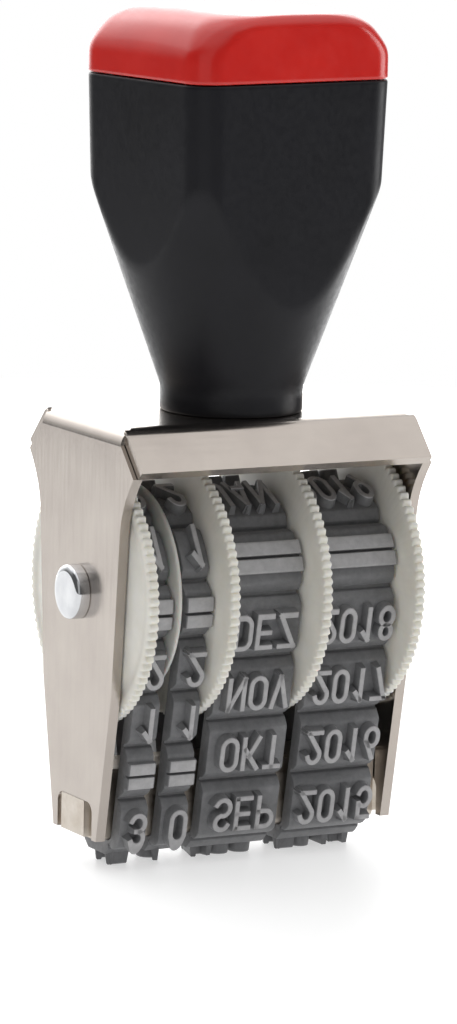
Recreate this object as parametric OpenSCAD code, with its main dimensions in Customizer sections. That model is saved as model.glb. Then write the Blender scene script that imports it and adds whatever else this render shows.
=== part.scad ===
// Band date stamp: a bent sheet frame holds four rubber type bands, each turned by its own
// toothed thumb wheel, under a moulded handle with a coloured cap.
// Millimetres. +Z is up, +X is to the right and -Y is the front.
// The origin is on the printing plane, under the middle of the stamp.

/* [Frame] */
// Width across the outsides of the two legs
frame_w = 36; // [35.6:0.1:36.4]
// Thickness of the bent sheet
sheet_t = 1.1; // [1:0.05:1.15]
// Height of the top plate's upper face above the printing plane
frame_top = 48.6; // [48.4:0.1:50]
// Depth of the flat top plate, between its front and rear bends
top_d = 18.6; // [18:0.1:19]
// How far each skirt reaches out from its bend
skirt_out = 4.05; // [3.5:0.05:4.5]
// How far each skirt drops from its bend
skirt_drop = 4.25; // [3.8:0.05:4.5]
// Width of the skirts
skirt_w = 35; // [34:0.1:35.4]
// Height of the legs' lower ends
leg_bottom = 3.4; // [3.2:0.1:3.8]
// Outside radius of the bend from top plate to leg
bend_r = 2; // [1.8:0.1:2.4]

/* [Axle] */
// Height of the wheels' axis
axle_z = 29.8; // [29.6:0.1:30]
// Radius of the axle
axle_r = 2; // [1.8:0.05:2.1]
// Radius of the axle's riveted heads
head_r = 2.95; // [2.6:0.05:3]
// How far a head stands off its leg
head_h = 1.6; // [1.2:0.1:1.6]

/* [Thumb wheels] */
// Radius over the teeth of a wheel's rim
rim_r = 14.5; // [14:0.1:14.6]
// Thickness of the toothed rim
rim_t = 1.15; // [1.1:0.05:1.2]
// Number of fine teeth round the rim
tooth_count = 96; // [80:2:100]
// Depth of a tooth
tooth_depth = 0.4; // [0.3:0.05:0.5]
// Radius of the drum that carries the band
drum_r = 8.2; // [8:0.05:8.2]
// Side clearance between neighbouring wheels
side_gap = 0.2; // [0.15:0.05:0.2]

/* [Type bands] */
// Inside radius of a band where it passes over its drum
belt_r = 8.5; // [8.5:0.1:8.7]
// Half the inside width of a band where it passes under the bridge bar
nose_half = 3.6; // [3.5:0.05:3.7]
// Inside radius of the band's two lower bends
nose_r = 1; // [0.9:0.05:1.1]
// Thickness of the belt itself
belt_t = 0.9; // [0.8:0.05:0.9]
// Height of the plates that carry the type, above the belt
plate_t = 0.8; // [0.7:0.05:0.8]
// Height of the type above its plate
type_t = 1.2; // [1.1:0.05:1.2]
// Height of a printed character
type_h = 4; // [3.8:0.1:4.2]
// Width of a printed character
type_w = 2; // [1.8:0.1:2.1]
// Distance from one character to the next along the line
type_step = 2.35; // [2.3:0.05:2.4]
// Positions round the month and year bands, counting the blank one
positions = 13; // [12:1:14]
// Positions round the day bands, counting the two blank ones
day_positions = 15; // [14:1:16]
// Width of each of the two day bands
day_band_w = 3.25; // [3.1:0.05:3.3]
// Width of the groove between two plates
groove_w = 0.6; // [0.5:0.1:1]

/* [Handle] */
// Width of the handle's grip at the seam
grip_w = 26; // [25.6:0.1:26.3]
// Depth of the handle's grip at the seam
grip_d = 22.8; // [22.4:0.1:23]
// Radius of the grip's upright corners
grip_corner_r = 3.1; // [2.8:0.1:3.4]
// Turn of the handle about its neck, away from square to the frame
handle_turn = 8; // [0:1:10]
// Height of the seam between handle and cap
seam_z = 84.6; // [84.4:0.1:85]
// Overall height of the stamp
overall_h = 92.2; // [92:0.1:92.4]
// Radius of the handle's neck
neck_r = 7.7; // [7.5:0.05:7.8]
// Wall thickness of the hollow handle
wall_t = 2.2; // [2:0.1:2.4]

/* [Hidden] */
$fn = 96;

// Frame
frame_half = frame_w / 2;
leg_inner = frame_half - sheet_t;
top_half = top_d / 2;
skirt_len = sqrt(skirt_out * skirt_out + skirt_drop * skirt_drop);
skirt_in = sheet_t * skirt_drop / skirt_len;
skirt_down = sheet_t * skirt_out / skirt_len;
skirt_root = top_half - skirt_in + (sheet_t - skirt_down) * skirt_out / skirt_drop;
leg_foot_half = 5.1;
leg_knee = [8.15, 19.5];
leg_waist = [9.45, 36.5];
ear_tip = [top_half + skirt_out - skirt_in - 0.15, frame_top - skirt_drop - skirt_down];
ear_shoulder_z = frame_top - bend_r + 0.2;
ear_steps = 6;
notch_half = 4.1;
notch_top = 7.4;
notch_corner_r = 1.2;
fixed_gap = 0.05;

// Bridge bar: its nose fills the bands' lower ends and its tenons sit in the legs' notches
bar_gap = 0.1;
bar_top = 10.8;
bar_end_gap = 0.1;
tenon_front = -2.2;
tenon_rear = 3.2;
tenon_top = notch_top - 0.05;
chamfer = 0.3;

// Wheels, named by the outside face of each toothed rim
running_gap = 0.06;
hub_r = 3.4;
drum_wall = 1.3;
web_t = 1.6;
tens_rim_x = -leg_inner + side_gap;
units_rim_x = -7.05;
month_rim_x = 4.1;
year_rim_x = 15.45;
disc_x = -11.85;
disc_t = 0.5;
disc_r = 11.5;

// Bands
band_gap = 0.2;
nose_x = nose_half - nose_r;
nose_z = type_t + plate_t + belt_t + nose_r;
run_dx = nose_x;
run_dz = axle_z - nose_z;
run_len = sqrt(run_dx * run_dx + run_dz * run_dz);
run_k = (belt_r - nose_r) / run_len;
run_t = run_len * sqrt(1 - run_k * run_k);
// Angle of the run's outward normal, from straight down towards the front
run_a = acos(run_k) + atan2(run_dx, run_dz);
mid = belt_t / 2;
arc_nose = (nose_r + mid) * run_a * PI / 180;
arc_drum = (belt_r + mid) * (180 - run_a) * PI / 180;
half_loop = nose_x + arc_nose + run_t + arc_drum;
groove_d = plate_t + 0.4;
plate_out = belt_t + plate_t;
type_root = 0.5;
blank_cells = [5];
day_blank_cells = [2, 5];
rib_w = 1.3;
rib_step = 0.8;
rib_h = 0.7;
month_band_w = month_rim_x - 0.35 - (units_rim_x + rim_t + band_gap);
year_band_w = year_rim_x - 0.3 - (month_rim_x + rim_t + band_gap);

// Handle
inner_corner_r = 1.6;
cone_z = 51.3;
cone_slope = 0.3625;
draft_w = 0.03;
draft_d = 0.02;
cap_side_r = 5.4;
cap_edge_r = 1.3;
lip_t = 1.5;
lip_h = 3;
lip_gap = 0.1;
boss_r = 5;
boss_top = 64;
screw_r = 2;
screw_top = 61;
hole_r = screw_r + fixed_gap;
hole_top = 62.5;
washer_r = 4;
washer_t = 0.8;
pan_r = 3.5;
pan_h = 2.2;
slot_w = 1;
slot_d = 1.1;

// Carries a flat shape drawn in Y and Z along X, centred on x = 0
module along_x(length) {
    rotate([90, 0, 90]) linear_extrude(length, center = true) children();
}

// Carries a flat shape drawn in X and Z along Y, centred on y = 0
module along_y(length) {
    rotate([90, 0, 0]) linear_extrude(length, center = true) children();
}

// A cylinder along X that starts at x = from
module rod_x(radius, from, length) {
    translate([from, 0, 0]) rotate([0, 90, 0]) cylinder(r = radius, h = length);
}

// A rectangle on z = low with two rounded upper corners
module arch_shape(width, low, high, corner) {
    translate([-width / 2, low]) square([width, high - low - corner]);
    translate([-width / 2 + corner, low]) square([width - 2 * corner, high - low]);
    for (side = [-1, 1])
        translate([side * (width / 2 - corner), high - corner]) circle(corner);
}

// A rectangle with four rounded corners
module round_rect(width, depth, corner) {
    square([width, depth - 2 * corner], center = true);
    square([width - 2 * corner, depth], center = true);
    for (x = [-1, 1])
        for (y = [-1, 1])
            translate([x * (width / 2 - corner), y * (depth / 2 - corner)]) circle(corner);
}

// Front half of a leg's outline, from the foot up to the top plate, as [depth, height] points
function leg_edge() = concat(
    [[leg_foot_half, leg_bottom], leg_knee],
    [for (i = [0:ear_steps])
        [leg_waist[0] + (ear_tip[0] - leg_waist[0]) * pow(i / ear_steps, 2),
         leg_waist[1] + (ear_tip[1] - leg_waist[1]) * i / ear_steps]],
    [[top_half, ear_shoulder_z], [top_half, frame_top]]);

module leg_outline() {
    edge = leg_edge();
    last = len(edge) - 1;
    polygon(concat(edge, [for (i = [0:last]) [-edge[last - i][0], edge[last - i][1]]]));
}

module skirt_outline() {
    polygon([[top_half, frame_top],
        [top_half + skirt_out, frame_top - skirt_drop],
        [top_half + skirt_out - skirt_in, frame_top - skirt_drop - skirt_down],
        [skirt_root, frame_top - sheet_t]]);
}

module frame() {
    color([0.78, 0.75, 0.72]) difference() {
        union() {
            intersection() {
                along_y(4 * top_d) difference() {
                    arch_shape(frame_w, leg_bottom, frame_top, bend_r);
                    translate([0, -sheet_t])
                        arch_shape(2 * leg_inner, leg_bottom, frame_top, bend_r - sheet_t);
                }
                along_x(2 * frame_w) leg_outline();
            }
            for (turn = [0, 180]) rotate(turn) along_x(skirt_w) skirt_outline();
        }
        along_x(2 * frame_w) arch_shape(2 * notch_half, 0, notch_top, notch_corner_r);
        translate([0, 0, axle_z]) rod_x(axle_r + fixed_gap, -frame_w, 2 * frame_w);
        translate([0, 0, frame_top - 2 * sheet_t]) cylinder(r = hole_r, h = 3 * sheet_t);
    }
}

module bar_outline() {
    low = nose_z - nose_r + bar_gap;
    radius = nose_r - bar_gap;
    half = nose_half - bar_gap;
    translate([-half, low + radius]) square([2 * half, bar_top - low - radius - chamfer]);
    translate([-half + radius, low]) square([2 * (half - radius), bar_top - low]);
    translate([-half + chamfer, low + radius]) square([2 * (half - chamfer), bar_top - low - radius]);
    for (side = [-1, 1]) translate([side * (half - radius), low + radius]) circle(radius);
}

module bridge_bar() {
    color([0.72, 0.7, 0.66]) union() {
        along_x(2 * (leg_inner - bar_end_gap)) bar_outline();
        translate([-frame_half, tenon_front, leg_bottom])
            cube([frame_w, tenon_rear - tenon_front, tenon_top - leg_bottom]);
    }
}

module axle() {
    color([0.86, 0.87, 0.88]) translate([0, 0, axle_z]) union() {
        rod_x(axle_r, -frame_half, frame_w);
        for (turn = [0, 180]) rotate([0, 0, turn]) {
            rod_x(head_r, frame_half, head_h - chamfer);
            translate([frame_half + head_h - chamfer, 0, 0]) rotate([0, 90, 0])
                cylinder(r1 = head_r, r2 = head_r - chamfer, h = chamfer);
        }
    }
}

module rim_outline() {
    polygon([for (i = [0:2 * tooth_count - 1])
        (rim_r - (i % 2) * tooth_depth) * [cos(i * 180 / tooth_count), sin(i * 180 / tooth_count)]]);
}

// A wheel whose toothed rim starts at x = rim_x. Its drum stands on the rim's left side
// for side = -1 or on its right side for side = 1. The drum is a cup, open away from the rim.
module thumb_wheel(rim_x, drum_w, side) {
    drum_x = side < 0 ? rim_x - drum_w : rim_x + rim_t;
    cup_x = side < 0 ? drum_x - 1 : drum_x + web_t;
    color([0.93, 0.91, 0.84]) translate([0, 0, axle_z]) difference() {
        union() {
            translate([rim_x, 0, 0]) rotate([0, 90, 0]) linear_extrude(rim_t) rim_outline();
            rod_x(drum_r, drum_x, drum_w);
        }
        difference() {
            rod_x(drum_r - drum_wall, cup_x, drum_w - web_t + 1);
            rod_x(hub_r, drum_x - 2, drum_w + 4);
        }
        rod_x(axle_r + running_gap, -frame_w, 2 * frame_w);
    }
}

module tens_wheel() {
    thumb_wheel(tens_rim_x, disc_x - side_gap - tens_rim_x - rim_t, 1);
}

module units_wheel() {
    thumb_wheel(units_rim_x, units_rim_x - disc_x - disc_t - side_gap, -1);
}

module month_wheel() {
    thumb_wheel(month_rim_x, month_rim_x - units_rim_x - rim_t - side_gap, -1);
}

module year_wheel() {
    thumb_wheel(year_rim_x, year_rim_x - month_rim_x - rim_t - side_gap, -1);
}

module separator_disc() {
    color([0.8, 0.8, 0.76]) translate([0, 0, axle_z]) difference() {
        rod_x(disc_r, disc_x, disc_t);
        rod_x(axle_r + fixed_gap, disc_x - 1, disc_t + 2);
    }
}

// Outline of the band's inside, in Y and Z, grown outwards by out: one arc over the drum,
// two small ones round the bridge bar, and the straight runs that touch them
module loop_outline(out) {
    normal = [-sin(run_a), -cos(run_a)];
    upper = [0, axle_z] + (belt_r + out) * normal;
    lower = [-nose_x, nose_z] + (nose_r + out) * normal;
    low = nose_z - nose_r - out;
    translate([0, axle_z]) circle(belt_r + out);
    for (side = [-1, 1]) translate([side * nose_x, nose_z]) circle(nose_r + out);
    polygon([upper, lower, [-nose_x, nose_z], [-nose_x, low], [nose_x, low],
        [nose_x, nose_z], [-lower[0], lower[1]], [-upper[0], upper[1]], [0, axle_z]]);
}

// Place on the belt's inside at a distance s along its middle line from the printing plane's
// centre, going up the front: [y, z, angle of the outward normal from straight down]
function loop_front(s) =
    s < nose_x ? [-s, nose_z - nose_r, 0]
    : s < nose_x + arc_nose ? nose_place((s - nose_x) / arc_nose * run_a)
    : s < nose_x + arc_nose + run_t ? run_place(s - nose_x - arc_nose)
    : drum_place(run_a + (s - nose_x - arc_nose - run_t) / (belt_r + mid) * 180 / PI);
function nose_place(a) = [-nose_x - nose_r * sin(a), nose_z - nose_r * cos(a), a];
function run_place(t) = [-nose_x - nose_r * sin(run_a) - t * cos(run_a),
    nose_z - nose_r * cos(run_a) + t * sin(run_a), run_a];
function drum_place(a) = [-belt_r * sin(a), axle_z - belt_r * cos(a), a];

// Moves its children to the cell number i of cells: their -Z side faces outwards
module at_cell(i, cells) {
    s = i * 2 * half_loop / cells;
    place = s > half_loop ? loop_front(2 * half_loop - s) : loop_front(s);
    side = s > half_loop ? -1 : 1;
    translate([0, side * place[0], place[1]]) rotate([-side * place[2], 0, 0]) children();
}

module characters(count) {
    root = plate_out - type_root;
    for (n = [0:count - 1])
        translate([(n - (count - 1) / 2) * type_step - type_w / 2, -type_h / 2, -plate_out - type_t])
            cube([type_w, type_h, type_t + type_root]);
}

module blank_ribs(band_w) {
    for (side = [-1, 1])
        translate([-band_w / 2 + 0.2, side * rib_step - rib_w / 2, -plate_out - rib_h])
            cube([band_w - 0.4, rib_w, rib_h + type_root]);
}

// A rubber band of width band_w, its left side at x = band_x, with so many cells, count characters
// in each, and ribs in the blank ones
module type_band(band_x, band_w, count, cells, blanks) {
    color([0.3, 0.3, 0.31]) translate([band_x + band_w / 2, 0, 0]) union() {
        difference() {
            along_x(band_w) difference() {
                loop_outline(plate_out);
                loop_outline(0);
            }
            for (i = [0:cells - 1])
                at_cell(i + 0.5, cells)
                    translate([-band_w, -groove_w / 2, -plate_out - groove_d + plate_t])
                        cube([2 * band_w, groove_w, groove_d]);
        }
        for (i = [0:cells - 1])
            at_cell(i, cells)
                if (len(search(i, blanks)) > 0) blank_ribs(band_w); else characters(count);
    }
}

module tens_band() {
    type_band(tens_rim_x + rim_t + band_gap, day_band_w, 1, day_positions, day_blank_cells);
}

module units_band() {
    type_band(units_rim_x - band_gap - day_band_w, day_band_w, 1, day_positions, day_blank_cells);
}

module month_band() {
    type_band(units_rim_x + rim_t + band_gap, month_band_w, 3, positions, blank_cells);
}

module year_band() {
    type_band(month_rim_x + rim_t + band_gap, year_band_w, 4, positions, blank_cells);
}

// Distance of a grip face from the handle's middle at height z, for a width of full at the seam
function drafted(full, draft, z) = full / 2 - draft * (seam_z - z);

// Side view of two opposite grip faces, which draw in towards the neck
module draft_shape(full, draft, low) {
    polygon([[-drafted(full, draft, low), low], [drafted(full, draft, low), low],
        [full / 2, seam_z], [-full / 2, seam_z]]);
}

// Handle's form, shrunk by inset on every side, from z = low up to the seam: a round flare
// that four flat faces cut to an oblong
module grip_form(inset, low, corner) {
    width = grip_w - 2 * inset;
    depth = grip_d - 2 * inset;
    intersection() {
        translate([0, 0, low]) linear_extrude(seam_z - low) round_rect(width, depth, corner);
        along_y(2 * grip_w) draft_shape(width, draft_w, low);
        along_x(2 * grip_w) draft_shape(depth, draft_d, low);
        rotate_extrude() polygon([[0, frame_top], [neck_r - inset, frame_top], [neck_r - inset, cone_z],
            [neck_r + cone_slope * (seam_z - cone_z) - inset, seam_z], [0, seam_z]]);
    }
}

module handle_body() {
    color([0.07, 0.07, 0.075]) rotate(handle_turn) difference() {
        grip_form(0, frame_top, grip_corner_r);
        difference() {
            translate([0, 0, 0.01]) grip_form(wall_t, cone_z + 3, inner_corner_r);
            cylinder(r = boss_r, h = boss_top);
        }
        cylinder(r = hole_r, h = hole_top);
    }
}

module handle_cap() {
    lip_w = 2 * (drafted(grip_w, draft_w, seam_z - lip_h) - wall_t - lip_gap);
    lip_d = 2 * (drafted(grip_d, draft_d, seam_z - lip_h) - wall_t - lip_gap);
    color([0.8, 0.1, 0.09]) rotate(handle_turn) difference() {
        union() {
            intersection() {
                along_y(2 * grip_w) arch_shape(grip_w, seam_z, overall_h, cap_side_r);
                along_x(2 * grip_w) arch_shape(grip_d, seam_z, overall_h, cap_edge_r);
                linear_extrude(2 * overall_h) round_rect(grip_w, grip_d, grip_corner_r);
            }
            translate([0, 0, seam_z - lip_h])
                linear_extrude(lip_h + 1) round_rect(lip_w, lip_d, inner_corner_r);
        }
        translate([0, 0, seam_z - lip_h - 1]) linear_extrude(overall_h - seam_z + lip_h + 1 - wall_t)
            round_rect(lip_w - 2 * lip_t, lip_d - 2 * lip_t, inner_corner_r / 2);
    }
}

module handle_screw() {
    seat = frame_top - sheet_t - washer_t;
    color([0.75, 0.75, 0.76]) difference() {
        union() {
            translate([0, 0, seat - pan_h + chamfer]) cylinder(r = pan_r, h = pan_h - chamfer);
            translate([0, 0, seat - pan_h]) cylinder(r1 = pan_r - chamfer, r2 = pan_r, h = chamfer);
            translate([0, 0, seat]) cylinder(r = screw_r, h = screw_top - seat - screw_r);
            translate([0, 0, screw_top - screw_r]) cylinder(r1 = screw_r, r2 = screw_r / 4, h = screw_r);
        }
        translate([-pan_r, -slot_w / 2, seat - pan_h - 1]) cube([2 * pan_r, slot_w, slot_d + 1]);
    }
}

module handle_washer() {
    color([0.75, 0.75, 0.76]) translate([0, 0, frame_top - sheet_t - washer_t]) difference() {
        cylinder(r = washer_r, h = washer_t);
        translate([0, 0, -1]) cylinder(r = hole_r, h = washer_t + 2);
    }
}

frame();
bridge_bar();
axle();
tens_wheel();
units_wheel();
month_wheel();
year_wheel();
separator_disc();
tens_band();
units_band();
month_band();
year_band();
handle_body();
handle_cap();
handle_screw();
handle_washer();
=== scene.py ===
"""Looks of the band date stamp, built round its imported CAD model.

Lengths are in millimetres, apart from those of the camera's clipping, the floor and the lamps, in metres.
"""
import math

import bmesh
import bpy
from mathutils import Matrix, Vector


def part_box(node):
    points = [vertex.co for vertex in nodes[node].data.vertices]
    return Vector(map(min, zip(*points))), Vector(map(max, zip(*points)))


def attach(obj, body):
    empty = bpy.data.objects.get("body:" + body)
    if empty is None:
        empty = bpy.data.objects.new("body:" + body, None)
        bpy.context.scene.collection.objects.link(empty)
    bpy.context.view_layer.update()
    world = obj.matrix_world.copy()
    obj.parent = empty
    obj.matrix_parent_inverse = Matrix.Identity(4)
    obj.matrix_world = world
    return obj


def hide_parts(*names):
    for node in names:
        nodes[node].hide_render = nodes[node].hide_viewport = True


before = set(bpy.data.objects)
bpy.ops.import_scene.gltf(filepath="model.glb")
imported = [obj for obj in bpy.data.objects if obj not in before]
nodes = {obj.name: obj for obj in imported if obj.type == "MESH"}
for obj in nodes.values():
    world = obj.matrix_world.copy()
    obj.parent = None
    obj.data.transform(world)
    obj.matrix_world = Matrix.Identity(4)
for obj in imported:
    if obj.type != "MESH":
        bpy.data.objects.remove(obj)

MM = 0.001  # a millimetre in Blender's metres
bpy.context.view_layer.update()


def box_mm(node):
    """Lowest and highest corner of a CAD node, in millimetres."""
    low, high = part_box(node)
    return [v / MM for v in low], [v / MM for v in high]


# ---------------------------------------------------------------- camera

CAM_AZ, CAM_EL, CAM_ROLL = -28.137, 9.065, 1.228
CAM_TARGET = Vector((-0.013, 0.0, 37.349)) * MM
CAM_DISTANCE = 600.1 * MM
CAM_LENS, CAM_SENSOR = 195.06, 36
CAM_CLIP = (0.05, 20)


def make_camera():
    """A camera that looks at CAM_TARGET from an azimuth and elevation in degrees, rolled about its view."""
    a, e, r = (math.radians(v) for v in (CAM_AZ, CAM_EL, CAM_ROLL))
    back = Vector((math.sin(a) * math.cos(e), -math.cos(a) * math.cos(e), math.sin(e)))
    right = (-back).cross(Vector((0, 0, 1))).normalized()
    up = right.cross(-back)
    right, up = math.cos(r) * right + math.sin(r) * up, math.cos(r) * up - math.sin(r) * right
    data = bpy.data.cameras.new("camera")
    data.sensor_fit = "AUTO"
    data.sensor_width = CAM_SENSOR
    data.lens = CAM_LENS
    data.clip_start, data.clip_end = CAM_CLIP
    cam = bpy.data.objects.new("camera", data)
    bpy.context.collection.objects.link(cam)
    place = Matrix((right, up, back)).transposed().to_4x4()
    place.translation = CAM_TARGET + back * CAM_DISTANCE
    cam.matrix_world = place
    bpy.context.scene.camera = cam


make_camera()

# ---------------------------------------------------------------- materials


class Look:
    """A procedural material: a Principled shader with noise in its colour, roughness and surface."""

    def __init__(self, name, roughness, metallic=0.0, **sockets):
        self.mat = bpy.data.materials.new(name)
        self.mat.use_nodes = True
        self.nt = self.mat.node_tree
        self.shader = self.nt.nodes["Principled BSDF"]
        self.shader.inputs["Metallic"].default_value = metallic
        self.shader.inputs["Roughness"].default_value = roughness
        for key, value in sockets.items():
            self.shader.inputs[key.replace("_", " ")].default_value = value
        self.coords = self.nt.nodes.new("ShaderNodeTexCoord")

    def link(self, a, b):
        self.nt.links.new(a, b)

    def noise(self, size, detail=3.0, stretch=(1, 1, 1), rough=0.5):
        """Noise whose grains are about size millimetres, drawn out by stretch."""
        mapping = self.nt.nodes.new("ShaderNodeMapping")
        mapping.inputs["Scale"].default_value = [1 / s for s in stretch]
        self.link(self.coords.outputs["Object"], mapping.inputs["Vector"])
        tex = self.nt.nodes.new("ShaderNodeTexNoise")
        tex.inputs["Scale"].default_value = 1 / (size * MM)
        tex.inputs["Detail"].default_value = detail
        tex.inputs["Roughness"].default_value = rough
        self.link(mapping.outputs["Vector"], tex.inputs["Vector"])
        return tex.outputs["Fac"]

    def spread(self, fac, low, high, a=0.3, b=0.7):
        """fac's values between a and b, spread from low to high."""
        node = self.nt.nodes.new("ShaderNodeMapRange")
        for key, value in (("From Min", a), ("From Max", b), ("To Min", low), ("To Max", high)):
            node.inputs[key].default_value = value
        self.link(fac, node.inputs["Value"])
        return node.outputs["Result"]

    def colour(self, fac, one, two):
        """Base colour between one and two, by fac."""
        node = self.nt.nodes.new("ShaderNodeMix")
        node.data_type = "RGBA"
        node.inputs[6].default_value = (*one, 1)
        node.inputs[7].default_value = (*two, 1)
        self.link(self.spread(fac, 0, 1), node.inputs[0])
        self.link(node.outputs[2], self.shader.inputs["Base Color"])

    def roughness(self, fac, low, high):
        self.link(self.spread(fac, low, high), self.shader.inputs["Roughness"])

    def along(self, axis, start, end, low=0, high=1):
        """Changes from low to high between two places on an axis, in millimetres."""
        split = self.nt.nodes.new("ShaderNodeSeparateXYZ")
        self.link(self.coords.outputs["Object"], split.inputs["Vector"])
        return self.spread(split.outputs[axis], low, high, start * MM, end * MM)

    def blend(self, fac, one, two):
        """one where fac is 0, and two where it is 1."""
        node = self.nt.nodes.new("ShaderNodeMix")
        node.data_type = "FLOAT"
        for socket, source in zip(node.inputs[0:1] + node.inputs[2:4], (fac, one, two)):
            self.link(source, socket)
        return node.outputs[0]

    def bump(self, fac, depth, strength):
        """Raises the surface by up to depth millimetres, by fac."""
        node = self.nt.nodes.new("ShaderNodeBump")
        node.inputs["Strength"].default_value = strength
        node.inputs["Distance"].default_value = depth * MM
        self.link(fac, node.inputs["Height"])
        self.link(node.outputs["Normal"], self.shader.inputs["Normal"])


# The sheet's grain runs up the legs, and along the skirts and the top above them
GRAIN_TURNS = (44, 47)
nickel = Look("nickel_sheet", 0.25, 1.0)
nickel.colour(nickel.noise(6, 4), (0.43, 0.385, 0.35), (0.475, 0.43, 0.39))
on_top = nickel.along("Z", *GRAIN_TURNS)
up, across = nickel.noise(0.5, 4, (1, 1, 16)), nickel.noise(0.5, 4, (16, 1, 1))
nickel.roughness(nickel.blend(on_top, up, across), 0.16, 0.25)
up, across = nickel.noise(0.1, 2, (1, 1, 30)), nickel.noise(0.1, 2, (30, 1, 1))
nickel.bump(nickel.blend(on_top, up, across), 0.0004, 0.35)

bar_steel = Look("bar_steel", 0.35, 1.0)
bar_steel.colour(bar_steel.noise(2.5), (0.50, 0.44, 0.37), (0.60, 0.55, 0.49))
bar_steel.roughness(bar_steel.noise(0.4, 4, (12, 1, 1)), 0.28, 0.45)
bar_steel.bump(bar_steel.noise(0.15, 2, (25, 1, 1)), 0.002, 0.6)

chrome = Look("axle_chrome", 0.08, 1.0)
chrome.colour(chrome.noise(1.5), (0.57, 0.58, 0.60), (0.65, 0.66, 0.67))
chrome.roughness(chrome.noise(0.25), 0.05, 0.12)
chrome.bump(chrome.noise(0.8, 2), 0.006, 0.5)

ivory = Look("wheel_plastic", 0.38, Subsurface_Weight=0.35, Subsurface_Scale=0.0012,
             Coat_Weight=0.15, Coat_Roughness=0.25)
ivory.shader.inputs["Subsurface Radius"].default_value = (1.0, 0.85, 0.6)
ivory.colour(ivory.noise(3.0), (0.72, 0.705, 0.645), (0.79, 0.775, 0.72))
ivory.roughness(ivory.noise(0.6), 0.3, 0.46)
ivory.bump(ivory.noise(0.25, 3), 0.004, 0.7)

disc_plastic = Look("disc_plastic", 0.34, Subsurface_Weight=0.25, Subsurface_Scale=0.0008)
disc_plastic.colour(disc_plastic.noise(2.0), (0.56, 0.57, 0.54), (0.64, 0.65, 0.62))
disc_plastic.roughness(disc_plastic.noise(0.5), 0.28, 0.42)
disc_plastic.bump(disc_plastic.noise(0.3, 3), 0.003, 0.6)


def rubber_look(name, dark, light, rough):
    """Moulded rubber: the bands' own, or the type's worn tops."""
    look = Look(name, rough, Sheen_Weight=0.12, Sheen_Roughness=0.5)
    look.colour(look.noise(0.9, 5, rough=0.65), dark, light)
    look.roughness(look.noise(0.35, 4), rough - 0.08, rough + 0.1)
    look.bump(look.noise(0.1, 4), 0.012, 0.8)
    return look


rubber = rubber_look("band_rubber", (0.13, 0.132, 0.137), (0.185, 0.185, 0.19), 0.5)
type_rubber = rubber_look("type_rubber", (0.33, 0.325, 0.33), (0.43, 0.425, 0.43), 0.46)

black = Look("handle_plastic", 0.36, Specular_IOR_Level=0.18)
black.colour(black.noise(8, 3), (0.009, 0.009, 0.011), (0.012, 0.012, 0.015))
black.roughness(black.noise(0.7, 4), 0.3, 0.42)
black.bump(black.noise(0.16, 3), 0.006, 0.8)

red = Look("cap_plastic", 0.22, Specular_IOR_Level=0.5)
red.colour(red.noise(6, 3), (0.60, 0.014, 0.010), (0.66, 0.021, 0.015))
red.roughness(red.noise(1.2, 3), 0.19, 0.27)
red.bump(red.noise(0.9, 2), 0.006, 0.6)

zinc = Look("fastener_steel", 0.3, 1.0)
zinc.colour(zinc.noise(1.2), (0.56, 0.57, 0.58), (0.66, 0.67, 0.69))
zinc.roughness(zinc.noise(0.3), 0.24, 0.4)
zinc.bump(zinc.noise(0.2, 3), 0.002, 0.6)

# ---------------------------------------------------------------- mesh building

WEIGHT_OF_FLATS = 80


def piece(name, bm, looks, body, node, sharp=40, weighted=False):
    """Turns bm, in millimetres, into a piece that stands for a CAD node.

    Edges that turn by more than sharp degrees stay sharp."""
    bmesh.ops.recalc_face_normals(bm, faces=bm.faces)
    mesh = bpy.data.meshes.new(name)
    bm.to_mesh(mesh)
    bm.free()
    mesh.transform(Matrix.Scale(MM, 4))
    for look in looks:
        mesh.materials.append(look.mat)
    mesh.shade_smooth()
    mesh.set_sharp_from_angle(angle=math.radians(sharp))
    obj = bpy.data.objects.new(name, mesh)
    bpy.context.collection.objects.link(obj)
    if weighted:
        mod = obj.modifiers.new("weighted_normals", "WEIGHTED_NORMAL")
        mod.keep_sharp = True
        mod.weight = WEIGHT_OF_FLATS
    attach(obj, body)
    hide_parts(node)


def bridge(bm, rings, closed_stack=False):
    """Joins neighbouring rings of vertices with quads, and the last with the first in a closed stack."""
    for one, two in zip(rings, rings[1:] + rings[:1] if closed_stack else rings[1:]):
        n = len(one)
        for i in range(n):
            j = (i + 1) % n
            bm.faces.new((one[i], one[j], two[j], two[i]))


# ---------------------------------------------------------------- turned pieces

AXLE_Z, AXLE_R = 29.8, 2.0
LEG_X = 18.0  # the legs' outer faces
RIM_R, RIM_T = 14.5, 1.15
TEETH, TOOTH_DEPTH, TOOTH_SHAPE = 96, 0.4, 1.2
TOOTH_STEPS = 8
DRUM_R, DRUM_WALL, WEB_T = 8.2, 1.3, 1.6
HUB_R, BORE_R = 3.4, 2.06
DISC_R, DISC_BORE_R, DISC_STEPS = 11.5, 2.05, 256
AXLE_STEPS = 128
WELD = 1e-5


def lathe(profile, steps, closed=True):
    """Turns a profile of (x, radius, share of the tooth depth) points round the axle."""
    bm = bmesh.new()
    rings = []
    for x, r, tooth in profile:
        ring = []
        for i in range(steps):
            a = 2 * math.pi * i / steps
            cut = tooth * TOOTH_DEPTH * (1 - abs(math.cos(a * TEETH / 2)) ** TOOTH_SHAPE)
            ring.append(bm.verts.new((x, (r - cut) * math.sin(a), AXLE_Z + (r - cut) * math.cos(a))))
        rings.append(ring)
    bridge(bm, rings, closed_stack=closed)
    bmesh.ops.remove_doubles(bm, verts=bm.verts, dist=WELD)
    return bm


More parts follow.
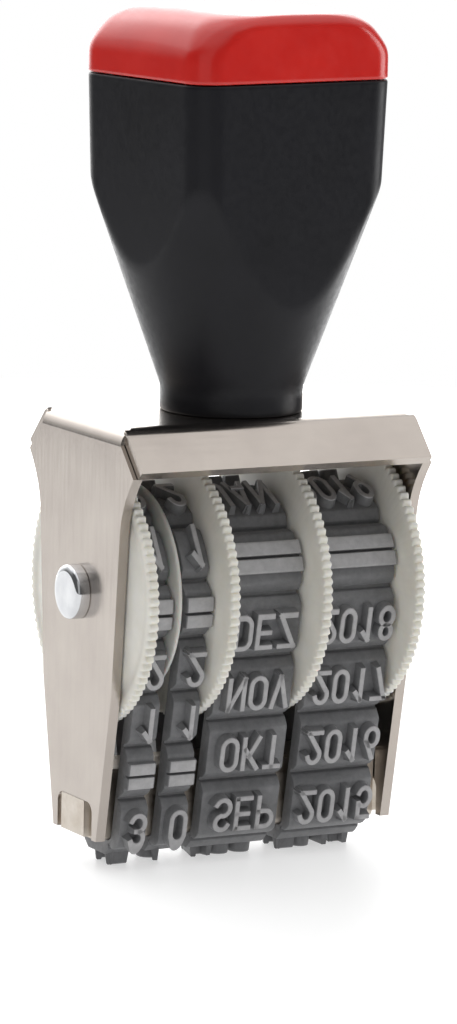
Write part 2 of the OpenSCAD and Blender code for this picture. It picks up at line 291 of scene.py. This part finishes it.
def wheel(name, body, node, rim_left):
    """A thumb wheel: a toothed rim at one end of an open drum. rim_left puts the rim at low x."""
    low, high = box_mm(node)
    width = high[0] - low[0]
    web = RIM_T + WEB_T
    edge, crest = 0.12, 0.3  # the teeth's broken edge, and where their full height starts
    groove = 0.12  # depth of the shallow ring round the rim's face
    soft = 0.15  # the drum's broken edges
    root = RIM_R - TOOTH_DEPTH - 0.35
    # Measured from the rim's outer face towards the drum's open end
    profile = [(0, BORE_R, 0), (0, BORE_R + 0.4, 0), (0, 5, 0), (0, RIM_R - 2.6, 0),
               (groove, RIM_R - 2.3, 0), (groove, RIM_R - 1.5, 0), (0, RIM_R - 1.2, 0), (0, root, 0),
               (edge / 2, RIM_R - edge * 1.6, 0.9), (edge, RIM_R - edge / 2, 1), (crest, RIM_R, 1),
               (RIM_T - crest, RIM_R, 1), (RIM_T - edge, RIM_R - edge / 2, 1),
               (RIM_T - edge / 2, RIM_R - edge * 1.6, 0.9),
               (RIM_T, root, 0), (RIM_T, DRUM_R + soft, 0), (RIM_T + soft, DRUM_R, 0),
               (width - soft, DRUM_R, 0), (width, DRUM_R - soft, 0), (width, DRUM_R - DRUM_WALL, 0),
               (web, DRUM_R - DRUM_WALL - 0.1, 0), (web, HUB_R + 0.1, 0), (width, HUB_R, 0),
               (width, BORE_R, 0)]
    place = (lambda x: low[0] + x) if rim_left else (lambda x: high[0] - x)
    bm = lathe([(place(x), r, t) for x, r, t in profile], TEETH * TOOTH_STEPS)
    piece(name, bm, [ivory], body, node, sharp=50)


wheel("tens_thumb_wheel", "tens", "tens_wheel", True)
wheel("units_thumb_wheel", "units", "units_wheel", False)
wheel("month_thumb_wheel", "month", "month_wheel", False)
wheel("year_thumb_wheel", "year", "year_wheel", False)


def disc():
    """The smooth disc between the day wheels, with a rounded rim."""
    low, high = box_mm("separator_disc")
    r, x0, x1 = DISC_R, low[0], high[0]
    profile = [(x0, DISC_BORE_R, 0), (x0, r - 0.35, 0), (x0 + 0.06, r - 0.12, 0), (x0 + 0.16, r - 0.02, 0),
               ((x0 + x1) / 2, r, 0), (x1 - 0.16, r - 0.02, 0), (x1 - 0.06, r - 0.12, 0), (x1, r - 0.35, 0),
               (x1, DISC_BORE_R, 0)]
    piece("separator", lathe(profile, DISC_STEPS), [disc_plastic], "body", "separator_disc")


disc()


def axle():
    """The rod with a riveted head at each end: domed at the rim, and slightly dished in the middle."""
    low, high = box_mm("axle")
    # The CAD mesh's circles are made of flats, so its box is a little narrower than the head
    end, r = high[0], (high[1] - low[1]) / 2 + 0.005
    right = [(LEG_X, AXLE_R, 0), (LEG_X, r - 0.07, 0), (LEG_X + 0.08, r, 0), (end - 0.45, r, 0),
             (end - 0.28, r - 0.05, 0), (end - 0.14, r - 0.18, 0), (end - 0.04, r - 0.42, 0),
             (end, r - 0.75, 0), (end - 0.01, 1.5, 0), (end - 0.05, 0.8, 0), (end - 0.06, 0, 0)]
    left = [(-x, r_at, 0) for x, r_at, _ in reversed(right)]
    piece("axle_rod", lathe(left + right, AXLE_STEPS, closed=False), [chrome], "body", "axle")


axle()

# ---------------------------------------------------------------- sheet metal

SHEET_WELD = 1e-3
SHARP_FROM = math.radians(24)


def round_fold(bm, y, z, angle, radius, steps=8):
    """Rounds the bend that runs along x through (y, z), where the sheet turns down from level by angle."""
    way = 1 if y > 0 else -1
    middle = Vector((0, way * math.sin(angle / 2), math.cos(angle / 2)))
    centre = Vector((0, y, z)) - middle * radius / math.cos(angle / 2)
    for k in range(steps):
        a = angle * (k + 0.5) / steps
        normal = Vector((0, way * math.sin(a), math.cos(a)))
        bmesh.ops.bisect_plane(bm, geom=bm.verts[:] + bm.edges[:] + bm.faces[:],
                               plane_co=centre + normal * radius, plane_no=normal, clear_outer=True)
        bmesh.ops.holes_fill(bm, edges=[e for e in bm.edges if len(e.link_faces) == 1], sides=0)


def bevelled_copy(node, edge_r, folds=()):
    """The CAD node's own form with its edges broken and its bends rounded."""
    bm = bmesh.new()
    bm.from_mesh(nodes[node].data)
    bmesh.ops.scale(bm, vec=(1 / MM,) * 3, verts=bm.verts)
    bmesh.ops.remove_doubles(bm, verts=bm.verts, dist=SHEET_WELD)
    bmesh.ops.dissolve_limit(bm, angle_limit=math.radians(1), verts=bm.verts, edges=bm.edges)
    for fold in folds:
        round_fold(bm, *fold)
    sharp = [e for e in bm.edges if len(e.link_faces) == 2 and e.calc_face_angle(0) > SHARP_FROM]
    bmesh.ops.bevel(bm, geom=sharp, offset=edge_r, offset_type="OFFSET", segments=2, profile=0.5,
                    affect="EDGES", clamp_overlap=True)
    bmesh.ops.remove_doubles(bm, verts=bm.verts, dist=SHEET_WELD)
    return bm


FRAME_TOP = 48.6
SKIRT_Y, SKIRT_ANGLE, SKIRT_FOLD_R = 9.3, math.radians(46.4), 2.6
SKIRT_FOLDS = [(side * SKIRT_Y, FRAME_TOP, SKIRT_ANGLE, SKIRT_FOLD_R) for side in (-1, 1)]
piece("frame_sheet", bevelled_copy("frame", 0.1, SKIRT_FOLDS), [nickel], "body", "frame",
      sharp=32, weighted=True)
piece("bridge", bevelled_copy("bridge_bar", 0.12), [bar_steel], "body", "bridge_bar",
      sharp=32, weighted=True)

# ---------------------------------------------------------------- rubber bands

# A band runs round its drum, straight down, and round the bridge bar's nose. s is the distance along the
# middle of its belt, from the printing plane up the front
BELT_R, NOSE_HALF, NOSE_R, BELT_T = 8.5, 3.6, 1.0, 0.9
PLATE_T, TYPE_T, TYPE_H = 0.8, 1.2, 3.9
MID = BELT_T / 2
NOSE_Y = NOSE_HALF - NOSE_R
NOSE_Z = TYPE_T + PLATE_T + BELT_T + NOSE_R
RUN_DZ = AXLE_Z - NOSE_Z
RUN_LEN = math.hypot(NOSE_Y, RUN_DZ)
RUN_K = (BELT_R - NOSE_R) / RUN_LEN
RUN_T = RUN_LEN * math.sqrt(1 - RUN_K * RUN_K)
RUN_A = math.acos(RUN_K) + math.atan2(NOSE_Y, RUN_DZ)
ARC_NOSE = (NOSE_R + MID) * RUN_A
ARC_DRUM = (BELT_R + MID) * (math.pi - RUN_A)
HALF_LOOP = NOSE_Y + ARC_NOSE + RUN_T + ARC_DRUM
PLATE_OUT = BELT_T + PLATE_T
TYPE_OUT = PLATE_OUT + TYPE_T


def loop_place(s, out):
    """(y, z) at the distance s round the band, and out from its inside."""
    s = (s + HALF_LOOP) % (2 * HALF_LOOP) - HALF_LOOP
    side, s = (1, s) if s >= 0 else (-1, -s)
    if s < NOSE_Y:
        y, z, a = -s, NOSE_Z - NOSE_R, 0.0
    elif s < NOSE_Y + ARC_NOSE:
        a = (s - NOSE_Y) / (NOSE_R + MID)
        y, z = -NOSE_Y - NOSE_R * math.sin(a), NOSE_Z - NOSE_R * math.cos(a)
    elif s < NOSE_Y + ARC_NOSE + RUN_T:
        a, t = RUN_A, s - NOSE_Y - ARC_NOSE
        y = -NOSE_Y - NOSE_R * math.sin(a) - t * math.cos(a)
        z = NOSE_Z - NOSE_R * math.cos(a) + t * math.sin(a)
    else:
        a = RUN_A + (s - NOSE_Y - ARC_NOSE - RUN_T) / (BELT_R + MID)
        y, z = -BELT_R * math.sin(a), AXLE_Z - BELT_R * math.cos(a)
    return side * (y - out * math.sin(a)), z - out * math.cos(a)


def arc(cx, cy, rx, ry, a0, a1, n=9):
    """Points on part of an ellipse; angles in degrees, from +x anticlockwise."""
    return [(cx + rx * math.cos(math.radians(a0 + (a1 - a0) * i / n)),
             cy + ry * math.sin(math.radians(a0 + (a1 - a0) * i / n))) for i in range(n + 1)]


def ring(cx, cy, rx, ry, flat):
    """A closed oval with straight sides of length 2 * flat."""
    return arc(cx, cy + flat, rx, ry, 0, 180, 12) + arc(cx, cy - flat, rx, ry, 180, 360, 12)


# Middle lines of each character in a box 1 wide and 1 high: (points, closed)
GLYPHS = {
    "0": [(ring(0.5, 0.5, 0.5, 0.27, 0.23), True)],
    "1": [([(0.18, 0.74), (0.62, 1)], False), ([(0.62, 1), (0.62, 0)], False)],
    "2": [(arc(0.5, 0.74, 0.48, 0.26, 168, -22, 12) + [(0.0, 0.0)], False), ([(0, 0), (1, 0)], False)],
    "3": [(arc(0.48, 0.76, 0.46, 0.24, 160, -70, 12), False), ([(0.36, 0.53), (0.62, 0.53)], False),
          (arc(0.48, 0.27, 0.5, 0.27, 75, -160, 14), False)],
    "4": [([(0.55, 1), (0.0, 0.27)], False), ([(0.0, 0.27), (1, 0.27)], False),
          ([(0.74, 0.55), (0.74, 0)], False)],
    "5": [([(0.92, 1), (0.1, 1)], False), ([(0.1, 1), (0.06, 0.5)], False),
          (arc(0.48, 0.31, 0.5, 0.31, 128, -155, 14), False)],
    "6": [(ring(0.5, 0.3, 0.48, 0.26, 0.04), True), ([(0.06, 0.42), (0.62, 1)], False)],
    "7": [([(0, 1), (1, 1)], False), ([(1, 1), (0.34, 0)], False)],
    "8": [(ring(0.5, 0.77, 0.42, 0.21, 0.02), True), (ring(0.5, 0.27, 0.5, 0.24, 0.03), True)],
    "9": [(ring(0.5, 0.7, 0.48, 0.26, 0.04), True), ([(0.94, 0.58), (0.38, 0)], False)],
    "A": [([(0, 0), (0.5, 1)], False), ([(0.5, 1), (1, 0)], False), ([(0.2, 0.28), (0.8, 0.28)], False)],
    "B": [([(0, 0), (0, 1)], False), ([(0, 1)] + arc(0.55, 0.77, 0.37, 0.23, 90, -90) + [(0, 0.54)], False),
          ([(0.4, 0.54)] + arc(0.55, 0.27, 0.43, 0.27, 90, -90) + [(0, 0)], False)],
    "D": [([(0, 0), (0, 1)], False), ([(0, 1)] + arc(0.5, 0.72, 0.48, 0.28, 90, 0)
                                      + arc(0.5, 0.28, 0.48, 0.28, 0, -90) + [(0, 0)], False)],
    "E": [([(0, 0), (0, 1)], False), ([(0, 1), (0.92, 1)], False), ([(0, 0.52), (0.8, 0.52)], False),
          ([(0, 0), (0.92, 0)], False)],
    "F": [([(0, 0), (0, 1)], False), ([(0, 1), (0.92, 1)], False), ([(0, 0.5), (0.8, 0.5)], False)],
    "G": [(arc(0.5, 0.73, 0.5, 0.27, 20, 180, 10) + arc(0.5, 0.27, 0.5, 0.27, 180, 360, 10), False),
          ([(1, 0.27), (1, 0.47)], False), ([(0.6, 0.47), (1, 0.47)], False)],
    "I": [([(0.5, 0), (0.5, 1)], False)],
    "J": [([(0.9, 1)] + arc(0.44, 0.27, 0.46, 0.27, 0, -165, 12), False)],
    "K": [([(0, 0), (0, 1)], False), ([(0.95, 1), (0.08, 0.36)], False), ([(0.36, 0.6), (1, 0)], False)],
    "L": [([(0, 1), (0, 0)], False), ([(0, 0), (0.92, 0)], False)],
    "M": [([(0, 0), (0, 1)], False), ([(0, 1), (0.5, 0.3)], False), ([(0.5, 0.3), (1, 1)], False),
          ([(1, 1), (1, 0)], False)],
    "N": [([(0, 0), (0, 1)], False), ([(0, 1), (1, 0)], False), ([(1, 0), (1, 1)], False)],
    "O": [(ring(0.5, 0.5, 0.5, 0.27, 0.23), True)],
    "P": [([(0, 0), (0, 1)], False), ([(0, 1)] + arc(0.52, 0.74, 0.46, 0.26, 90, -90) + [(0, 0.48)], False)],
    "R": [([(0, 0), (0, 1)], False), ([(0, 1)] + arc(0.52, 0.75, 0.46, 0.25, 90, -90) + [(0, 0.5)], False),
          ([(0.5, 0.5), (1, 0)], False)],
    "S": [(arc(0.5, 0.76, 0.46, 0.24, 25, 255, 12) + arc(0.5, 0.27, 0.5, 0.27, 80, -155, 12), False)],
    "T": [([(0, 1), (1, 1)], False), ([(0.5, 1), (0.5, 0)], False)],
    "U": [([(0, 1)] + arc(0.5, 0.27, 0.5, 0.27, 180, 360, 12) + [(1, 1)], False)],
    "V": [([(0, 1), (0.5, 0)], False), ([(0.5, 0), (1, 1)], False)],
    "Z": [([(0, 1), (1, 1)], False), ([(1, 1), (0, 0)], False), ([(0, 0), (1, 0)], False)],
}
TOP_W, FOOT_W = 0.46, 0.86
# A stroke's section, from its foot sunk in the plate to its top: (width, height, share of its end's slope)
STROKE_FORM = [(FOOT_W, PLATE_OUT - 0.45, 1), (FOOT_W * 0.93, PLATE_OUT + 0.02, 0.9),
               (TOP_W + 0.1, TYPE_OUT - 0.1, 0.15), (TOP_W, TYPE_OUT, 0)]
STROKE_STRIPS = 2 * len(STROKE_FORM) - 1
TOP_STRIPS = range(2, 5)  # the strips that are the worn top and its edges


def stroke(bm, points, closed, put):
    """One raised line with sloping sides along points. put(x, y, out) is a place on the band."""
    if not closed:
        for end, near in ((0, 1), (-1, -2)):
            p, q = Vector(points[end]), Vector(points[near])
            points = list(points)
            points[end] = tuple(p + (p - q).normalized() * TOP_W / 2)
    n = len(points)
    rows = []
    for i, p in enumerate(points):
        p = Vector(p)
        before = Vector(points[i - 1]) if closed or i else None
        after = Vector(points[(i + 1) % n]) if closed or i < n - 1 else None
        d1 = (p - before).normalized() if before is not None else None
        d2 = (after - p).normalized() if after is not None else None
        d1, d2 = d1 or d2, d2 or d1
        along = (d1 + d2).normalized()
        across = Vector((-along.y, along.x)) / max(0.5, along.dot(d1))
        tip = Vector((0, 0))
        if not closed and i in (0, n - 1):
            tip = along * (FOOT_W - TOP_W) / 2 * (-1 if i == 0 else 1)
        row = []
        for width, out, push in STROKE_FORM:
            for side in (1, -1):
                q = p + across * side * width / 2 + tip * push
                row.append((side, bm.verts.new(put(q.x, q.y, out))))
        left = [v for side, v in row if side == 1]
        right = [v for side, v in row if side == -1]
        rows.append(left + right[::-1])
    count = len(rows)
    for i in range(count if closed else count - 1):
        one, two = rows[i], rows[(i + 1) % count]
        for k in range(STROKE_STRIPS):
            face = bm.faces.new((one[k], one[k + 1], two[k + 1], two[k]))
            face.material_index = 1 if k in TOP_STRIPS else 0
    if not closed:
        for row in (rows[0], rows[-1]):
            bm.faces.new(row)


# How high a plate stands at a distance from the middle of the groove beside it, and a rib from its own
PLATE_FORM = [(0, 0.5), (0.18, 0.5), (0.27, 0.95), (0.34, 1.03), (0.98, 1.62), (1.12, 1.7), (9, 1.7)]
RIB_FORM = [(0, 0.7), (0.52, 0.7), (0.6, 0.66), (0.65, 0.6), (0.68, 0), (9, 0)]
RIB_AT = 0.8
RIB_OUT = PLATE_OUT + 0.5  # anything higher than this is a rib's top
STEP, NEAREST = 0.45, 0.12  # between a band's sections: the usual distance, and the least
EDGE = 0.14  # the plates' broken edges


def between(form, at):
    """The value at a place along a list of (place, value) points."""
    for (a, u), (b, v) in zip(form, form[1:]):
        if at <= b:
            return u + (v - u) * (at - a) / (b - a)
    return form[-1][1]


def band(name, node, labels, char_w, step):
    """A type band. labels[i] is what cell i prints. Cell 0 is the one in use, and an empty one has two ribs.

    char_w is a character's width, and step the distance between characters."""
    low, high = box_mm(node)
    cells = len(labels)
    pitch = 2 * HALF_LOOP / cells
    x0, x1 = low[0], high[0]
    bm = bmesh.new()
    stops = set()
    for i, label in enumerate(labels):
        for d, _ in PLATE_FORM:
            stops.update({(i + 0.5) * pitch + d, (i + 0.5) * pitch - d})
        if not label:
            stops.update(i * pitch + side * (RIB_AT + way * d)
                         for side in (-1, 1) for way in (-1, 1) for d, _ in RIB_FORM)
    stops = sorted({round(s % (2 * HALF_LOOP), 4) for s in stops})
    extra = [k * STEP for k in range(int(2 * HALF_LOOP / STEP))]
    stops = sorted(stops + [s for s in extra if min(abs(s - t) for t in stops) > NEAREST])

    def height(s):
        gap = abs((s / pitch - 0.5) % 1 * pitch)
        h = between(PLATE_FORM, min(gap, pitch - gap))
        if not labels[round(s / pitch) % cells]:
            off = (s + pitch / 2) % pitch - pitch / 2
            h += between(RIB_FORM, abs(abs(off) - RIB_AT))
        return h

    middle = (x0 + x1) / 2
    rings, ribs = [], []
    for s in stops:
        h = height(s)
        side = max(h - EDGE, 0.3)
        places = [(x0, 0), (x0, MID), (x0, side), (x0 + EDGE * 0.3, h - EDGE * 0.3), (x0 + EDGE, h),
                  (middle, h), (x1 - EDGE, h), (x1 - EDGE * 0.3, h - EDGE * 0.3), (x1, side),
                  (x1, MID), (x1, 0), (middle, 0)]
        rings.append([bm.verts.new((x, *loop_place(s, out))) for x, out in places])
        ribs.append(h > RIB_OUT)
    bridge(bm, rings, closed_stack=True)
    for k, is_rib in enumerate(ribs):
        if is_rib and ribs[(k + 1) % len(ribs)]:
            top = set(rings[k][4:7] + rings[(k + 1) % len(rings)][4:7])
            for face in {f for v in top for f in v.link_faces}:
                if all(v in top for v in face.verts):
                    face.material_index = 1
    for i, label in enumerate(labels):
        for n, char in enumerate(label):
            cx = middle + (n - (len(label) - 1) / 2) * step
            wide, tall = char_w - TOP_W, TYPE_H - TOP_W

            def put(x, y, out, cx=cx, i=i):
                return (cx + x, *loop_place(i * pitch - y, out))

            for points, closed in GLYPHS[char]:
                stroke(bm, [((x - 0.5) * wide, (y - 0.5) * tall) for x, y in points], closed, put)
    piece(name, bm, [rubber, type_rubber], "body", node, sharp=38)


MONTHS = ["AUG", "SEP", "OKT", "NOV", "DEZ", "", "JAN", "FEB", "MRZ", "APR", "MAI", "JUN", "JUL"]
YEARS = ["2014", "2015", "2016", "2017", "2018", "", "2019", "2020", "2021", "2022", "2023", "2024", "2025"]
UNITS = ["9", "0", "", "1", "2", "", "1", "2", "3", "4", "5", "6", "7", "8", "9"]
TENS = ["2", "3", "", "1", "2", "", "1", "2", "3", "1", "2", "3", "1", "2", "3"]
band("month_type_band", "month_band", MONTHS, 2.2, 2.62)
band("year_type_band", "year_band", YEARS, 1.98, 2.36)
band("units_type_band", "units_band", UNITS, 2.1, 2.4)
band("tens_type_band", "tens_band", TENS, 2.1, 2.4)

# ---------------------------------------------------------------- handle

TURN = math.radians(8)
GRIP_W, GRIP_D, GRIP_R = 26.0, 22.8, 3.1
DRAFT_W, DRAFT_D = 0.03, 0.02
SEAM_Z, TOP_Z = 84.6, 92.2
NECK_R, CONE_Z, CONE_SLOPE = 7.7, 51.3, 0.3625
JOIN_W = 0.3  # the soft join of the grip's faces with the cone, and of the cone with the neck


def oblong(angle, half_w, half_d, corner):
    """Distance from the middle to a rounded rectangle's outline in the direction of angle."""
    c, s = abs(math.cos(angle)), abs(math.sin(angle))
    if c > 1e-9 and half_w / c * s <= half_d - corner:
        return half_w / c
    if s > 1e-9 and half_d / s * c <= half_w - corner:
        return half_d / s
    cx, cy = half_w - corner, half_d - corner
    mid = cx * c + cy * s
    return mid + math.sqrt(max(0, mid * mid - cx * cx - cy * cy + corner * corner))


def grip_angles():
    """Angles round the grip, closer together where its corners turn."""
    on_face, on_corner = 14, 22
    a0 = math.atan2(GRIP_D / 2 - GRIP_R - 1, GRIP_W / 2)
    a1 = math.atan2(GRIP_D / 2, GRIP_W / 2 - GRIP_R - 1)
    quarter = [a0 * i / on_face for i in range(on_face)]
    quarter += [a0 + (a1 - a0) * i / on_corner for i in range(on_corner)]
    quarter += [a1 + (math.pi / 2 - a1) * i / on_face for i in range(on_face + 1)]
    half = quarter[:-1] + [math.pi - a for a in reversed(quarter[1:])]
    return half + [a + math.pi for a in half]


ANGLES = grip_angles()


def soft_min(a, b, width):
    """The lesser of a and b, with a soft join of that width."""
    t = max(width - abs(a - b), 0) / width
    return min(a, b) - t * t * width / 4


def turned(x, y):
    """The handle's own (x, y), turned about its neck with the handle."""
    return x * math.cos(TURN) - y * math.sin(TURN), x * math.sin(TURN) + y * math.cos(TURN)


def stacked(levels):
    """A closed form from levels of (height, radius), each a function of the angle."""
    bm = bmesh.new()
    rings = []
    for z_at, r_at in levels:
        ring = []
        for a in ANGLES:
            r = r_at(a)
            x, y = turned(r * math.cos(a), r * math.sin(a))
            ring.append(bm.verts.new((x, y, z_at(a))))
        rings.append(ring)
    bridge(bm, rings)
    bm.faces.new(rings[0])
    bm.faces.new(rings[-1])
    return bm


def cone_r(z):
    """The radius of the neck, and of the cone over it."""
    return -soft_min(-NECK_R, -NECK_R - CONE_SLOPE * (z - CONE_Z), JOIN_W)


def handle():
    """The moulding from the frame up to the seam with the cap. Each level is (z, how far it is set in)."""
    stack = [(FRAME_TOP, 0.22), (FRAME_TOP + 0.12, 0.06), (FRAME_TOP + 0.3, 0.0)]
    stack += [(z, 0.0) for z in (49.4, 50.2, 50.75, 50.95, 51.2)]
    z, step = 51.5, 0.28
    while z < SEAM_Z - 0.6:
        stack.append((z, 0.0))
        z += step
    stack += [(SEAM_Z - 0.5, 0.0), (SEAM_Z - 0.25, 0.0), (SEAM_Z - 0.1, 0.06), (SEAM_Z - 0.02, 0.16),
              (SEAM_Z - 0.02, 1.2)]
    levels = []
    for z, inset in stack:

        def r_at(a, z=z, inset=inset):
            down = SEAM_Z - z
            face = oblong(a, GRIP_W / 2 - DRAFT_W * down, GRIP_D / 2 - DRAFT_D * down, GRIP_R)
            return soft_min(cone_r(z), face, JOIN_W) - inset

        levels.append((lambda a, z=z: z, r_at))
    piece("handle_moulding", stacked(levels), [black], "body", "handle_body", sharp=50)


handle()


DOME_H = 0.5
DOME_FROM, DOME_FULL = 2, 4  # above the seam: where the dome's shape sets in, and how much higher it is full


def dome_drop(a, outline):
    """How far the domed top lies under its middle, where the outline is met in the direction of a."""
    r = oblong(a, *outline)
    x, y = r * math.cos(a) / (GRIP_W / 2), r * math.sin(a) / (GRIP_D / 2)
    return DOME_H * (x * x + y * y)


def cap():
    """The cap: long round shoulders at its left and right, short ones at its front and back, and a dome."""
    side_h, side_in = 5.4, 5.2
    edge_h, edge_in = 1.3, 1.25
    corner_more = 1.4
    base, step, steps = SEAM_Z + 0.1, 0.5, 36
    stack = [(base, 1.2), (base, 0.22), (base + 0.06, 0.07), (base + 0.2, 0.0), (base + 0.45, 0.0)]
    z = base + 0.9
    while z < TOP_Z - side_h:
        stack.append((z, 0.0))
        z += step
    stack += [(TOP_Z - side_h + side_h * math.sin(math.pi / 2 * i / steps), 0.0) for i in range(steps + 1)]
    levels = []

    def level(z, outline, t):
        """Adds a level at z, bent down to the dome by the share t."""
        levels.append((lambda a: z - dome_drop(a, outline) * t * t * (3 - 2 * t),
                       lambda a: oblong(a, *outline)))

    for z, cut in stack:
        u = min(1, max(0, (z - TOP_Z + side_h) / side_h))
        v = min(1, max(0, (z - TOP_Z + edge_h) / edge_h))
        half_w = GRIP_W / 2 - side_in * (1 - math.sqrt(1 - u * u)) - cut
        half_d = GRIP_D / 2 - edge_in * (1 - math.sqrt(1 - v * v)) - cut
        corner = GRIP_R + corner_more * u * u - min(cut, 1)
        level(z, (half_w, half_d, corner), min(1, max(0, (z - SEAM_Z - DOME_FROM) / DOME_FULL)))
    top = (GRIP_W / 2 - side_in, GRIP_D / 2 - edge_in, GRIP_R + corner_more)
    for share in (0.94, 0.85, 0.72, 0.56, 0.38, 0.2, 0.05):
        level(TOP_Z, [size * share for size in top], 1)
    piece("handle_cap_moulding", stacked(levels), [red], "body", "handle_cap", sharp=60)


cap()

# ---------------------------------------------------------------- hidden fasteners keep their CAD form

for name in ("handle_screw", "handle_washer"):
    for material_slot in nodes[name].material_slots:
        material_slot.link = "OBJECT"
        material_slot.material = zinc.mat

# ---------------------------------------------------------------- floor and light


FLOOR_R, FLOOR_TURN = 0.38, math.radians(38)
FLOOR_DROP = 0.00002  # keeps it clear of the type
# Its own light, along its turned x axis: from and to these places, in millimetres, at these strengths
FLOOR_GLOW = (110, 210, 0.51, 1.7)


def make_floor():
    """A pale round floor that gives off a little light of its own, and more towards the rear right."""
    bm = bmesh.new()
    bmesh.ops.create_circle(bm, cap_ends=True, segments=128, radius=FLOOR_R)
    mesh = bpy.data.meshes.new("floor")
    bm.to_mesh(mesh)
    bm.free()
    floor = bpy.data.objects.new("floor", mesh)
    floor.location = (0, 0, -FLOOR_DROP)
    floor.rotation_euler = (0, 0, FLOOR_TURN)
    bpy.context.collection.objects.link(floor)
    look = Look("floor_white", 0.45, Specular_IOR_Level=0.2)
    look.shader.inputs["Emission Color"].default_value = (1, 1, 1, 1)
    look.colour(look.noise(60), (0.59, 0.59, 0.59), (0.61, 0.61, 0.61))
    look.link(look.along("X", *FLOOR_GLOW), look.shader.inputs["Emission Strength"])
    mesh.materials.append(look.mat)


make_floor()


def area(name, place, target, size, power):
    """A rectangular lamp of that size in metres and power in watts, turned to its target."""
    data = bpy.data.lights.new(name, "AREA")
    data.shape = "RECTANGLE"
    data.size, data.size_y = size
    data.energy = power
    lamp = bpy.data.objects.new(name, data)
    lamp.location = place
    lamp.rotation_euler = (Vector(target) - Vector(place)).to_track_quat("-Z", "Y").to_euler()
    bpy.context.collection.objects.link(lamp)


area("front_fill", place=(-0.62, -0.72, 0.34), target=(0, 0, 0.04), size=(0.9, 0.9), power=1.0)
area("right_box", place=(0.7, -0.12, 0.1), target=(0, 0, 0.06), size=(0.35, 0.4), power=1.6)


def sun(name, way, strength, spread):
    """A soft light from the direction way, as wide as spread degrees."""
    data = bpy.data.lights.new(name, "SUN")
    data.energy = strength
    data.angle = math.radians(spread)
    lamp = bpy.data.objects.new(name, data)
    lamp.rotation_euler = Vector(way).to_track_quat("Z", "Y").to_euler()
    bpy.context.collection.objects.link(lamp)


sun("key", way=(-0.3, 0.5, 0.8), strength=0.6, spread=60)

# The studio's surroundings: how bright they are all round, and bright regions on top of that, each with its
# direction, the angles in degrees from it where it ends and where it is full, and its strength
WORLD_BASE = 0.12
WORLD_LOBES = [
    ((0.25, 0.95, 0.15), 46, 28, 1.1),  # the wall behind
    ((0.2, 0.9, 0.35), 34, 14, 1.8),  # the wall's brighter upper part
    ((-0.35, 0.8, 0.5), 36, 10, 0.8),  # high at the rear left
    ((0.25, -0.05, 0.95), 62, 25, 1.1),  # the ceiling
]
SEEN_WHITE = 1.0


def make_world():
    """Light from WORLD_BASE and WORLD_LOBES, while the camera itself sees plain white."""
    world = bpy.data.worlds.new("studio")
    bpy.context.scene.world = world
    world.use_nodes = True
    nt = world.node_tree
    back = nt.nodes["Background"]
    back.inputs["Color"].default_value = (1, 1, 1, 1)
    coords = nt.nodes.new("ShaderNodeTexCoord")

    def lobe(way, outer, inner, value, below):
        """Adds a bright region to what is below, the light so far."""
        dot = nt.nodes.new("ShaderNodeVectorMath")
        dot.operation = "DOT_PRODUCT"
        dot.inputs[1].default_value = Vector(way).normalized()
        nt.links.new(coords.outputs["Generated"], dot.inputs[0])
        span = nt.nodes.new("ShaderNodeMapRange")
        span.interpolation_type = "SMOOTHSTEP"
        for key, number in (("From Min", math.cos(math.radians(outer))),
                            ("From Max", math.cos(math.radians(inner))), ("To Min", 0), ("To Max", value)):
            span.inputs[key].default_value = number
        nt.links.new(dot.outputs["Value"], span.inputs["Value"])
        total = nt.nodes.new("ShaderNodeMath")
        total.operation = "ADD"
        nt.links.new(span.outputs["Result"], total.inputs[0])
        if below is None:
            total.inputs[1].default_value = WORLD_BASE
        else:
            nt.links.new(below, total.inputs[1])
        return total.outputs["Value"]

    light = None
    for way, outer, inner, value in WORLD_LOBES:
        light = lobe(way, outer, inner, value, light)
    path = nt.nodes.new("ShaderNodeLightPath")
    mix = nt.nodes.new("ShaderNodeMix")
    mix.data_type = "FLOAT"
    nt.links.new(path.outputs["Is Camera Ray"], mix.inputs[0])
    nt.links.new(light, mix.inputs[2])
    mix.inputs[3].default_value = SEEN_WHITE
    nt.links.new(mix.outputs[0], back.inputs["Strength"])


make_world()
bpy.context.scene.view_settings.view_transform = "Standard"

# ---------------------------------------------------------------- the end

bpy.context.view_layer.update()
